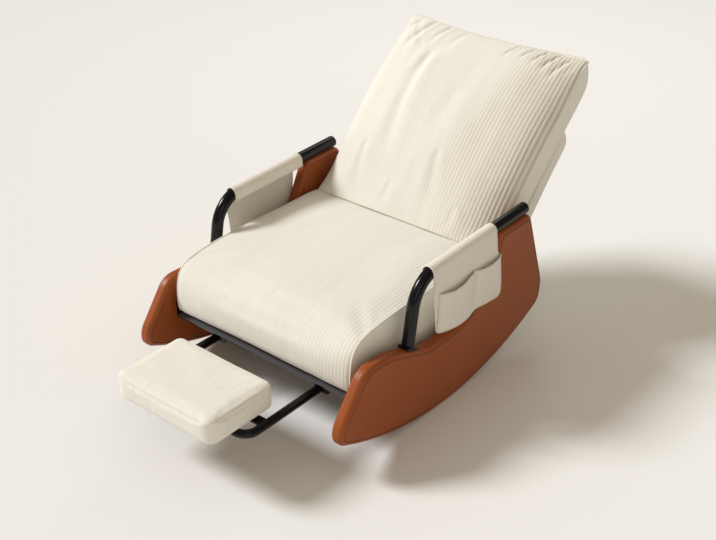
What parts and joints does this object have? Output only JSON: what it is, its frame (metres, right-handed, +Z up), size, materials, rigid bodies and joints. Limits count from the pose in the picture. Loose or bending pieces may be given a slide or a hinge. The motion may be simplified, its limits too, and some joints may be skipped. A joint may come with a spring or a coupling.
{
  "type": "reclining rocking armchair with footrest",
  "caption": "Rocking armchair on leather-covered panel rockers, with deep ribbed cushions, a reclining back, tube arms with pocketed covers and a sliding, folding footrest.",
  "frame": {"origin": "on the floor under the middle of the chair's length and width, at the height of the rockers' lowest line", "axes": "+Z up, -Y the way the sitter faces, towards the footrest, +X to the sitter's left"},
  "size_m": [0.7228, 1.3547, 0.7266],
  "materials": {
    "cushion_fabric": "matte ribbed cloth over foam",
    "cover_cloth": "matte plain cloth",
    "tan_leather": "smooth satin",
    "black_tube": "gloss",
    "black_plastic": "satin",
    "steel_fixings": "brushed",
    "board_wood": "plain plywood",
    "webbing": "woven strap",
    "rubber_buffer": "matte"
  },
  "bodies": {
    "chair_frame": {"rocker_board_left": "board_wood", "rocker_board_right": "board_wood", "rocker_leather_inner_left": "tan_leather", "rocker_leather_inner_right": "tan_leather", "rocker_leather_outer_left": "tan_leather", "rocker_leather_outer_right": "tan_leather", "rocker_tread_band_left": "tan_leather", "rocker_tread_band_right": "tan_leather", "rocker_top_band_left": "tan_leather", "rocker_top_band_right": "tan_leather", "arm_tube_left": "black_tube", "arm_tube_right": "black_tube", "arm_foot_plate_left": "black_tube", "arm_foot_plate_right": "black_tube", "arm_end_cap_left": "black_plastic", "arm_end_cap_right": "black_plastic", "arm_studs_left": "steel_fixings", "arm_studs_right": "steel_fixings", "arm_cover_left": "cover_cloth", "arm_cover_right": "cover_cloth", "arm_pocket_left": "cover_cloth", "arm_pocket_right": "cover_cloth", "hinge_plate_left": "black_tube", "hinge_plate_right": "black_tube", "hinge_rivet_left": "steel_fixings", "hinge_rivet_right": "steel_fixings", "seat_front_bar": "black_tube", "seat_middle_bar": "black_tube", "seat_rear_bar": "black_tube", "seat_front_rails": "black_tube", "seat_rear_rails": "black_tube", "seat_mount_plates": "black_tube", "seat_mount_bolts": "steel_fixings", "seat_long_webbing": "webbing", "seat_cross_webbing": "webbing", "seat_cushion": "cushion_fabric", "hinge_washers": "black_plastic", "footrest_stop_pins": "steel_fixings", "footrest_sleeves": "black_tube", "footrest_bushes": "black_plastic", "footrest_hangers": "black_tube"},
    "footrest_frame": {"footrest_frame": "black_tube", "footrest_strap": "black_tube", "footrest_buffers": "rubber_buffer", "footrest_glides": "black_plastic"},
    "footrest_pad": {"footrest_pad": "cushion_fabric", "footrest_board": "board_wood", "footrest_clamps": "black_plastic", "footrest_clamp_screws": "steel_fixings"},
    "backrest": {"recline_arm_left": "black_tube", "recline_arm_right": "black_tube", "back_cross_tubes": "black_tube", "back_hoop": "black_tube", "back_panel_front": "cushion_fabric", "back_panel_rear": "cushion_fabric", "back_board": "board_wood", "back_fastener_strips": "webbing", "back_cushion": "cushion_fabric"}
  },
  "joints": [
    {"name": "footrest_slide", "type": "slide", "parent": "chair_frame", "child": "footrest_frame", "axis": [0, 1, 0], "range_m": [0, 0.09]},
    {"name": "footrest_flip", "type": "hinge", "parent": "footrest_frame", "child": "footrest_pad", "pos_m": [0, -0.583, 0.129], "axis": [1, 0, 0], "range_deg": [0, 180]},
    {"name": "backrest_recline", "type": "hinge", "parent": "chair_frame", "child": "backrest", "pos_m": [0, 0.185, 0.165], "axis": [1, 0, 0], "range_deg": [-20, 10]}
  ]
}
